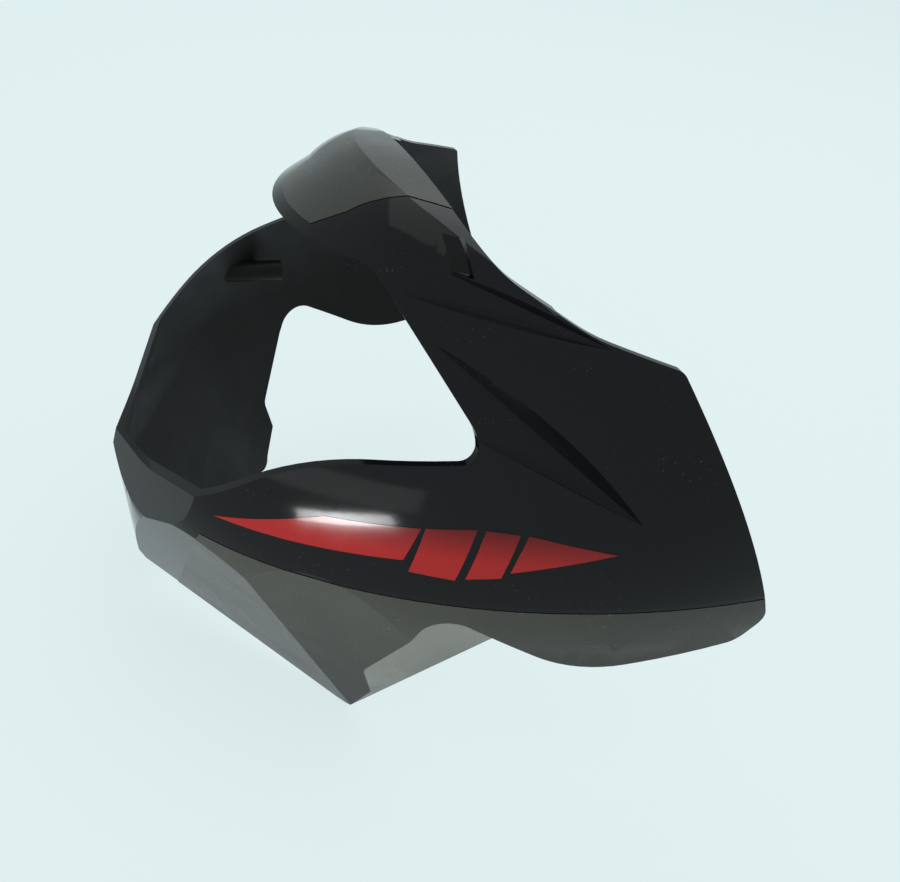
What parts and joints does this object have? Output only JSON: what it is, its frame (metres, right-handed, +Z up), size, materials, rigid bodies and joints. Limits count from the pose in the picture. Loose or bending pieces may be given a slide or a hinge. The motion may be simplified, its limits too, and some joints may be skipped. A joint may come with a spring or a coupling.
{
  "type": "headlight visor",
  "caption": "Thin moulded headlight visor of a motorbike, with a wraparound lamp opening, a humped brow, swept side wings and a pointed chin.",
  "frame": {"origin": "midway between the rear faces of the two lower screw bosses, on the plane of symmetry", "axes": "+X to the vehicle's left, -Y to the front, +Z up, with the ridge round the visor level"},
  "size_m": [0.324, 0.244, 0.2214],
  "materials": {
    "visor": "gloss black paint outside, bare matte moulding inside"
  },
  "bodies": {
    "root": {"visor_shell": "visor"}
  },
  "joints": []
}
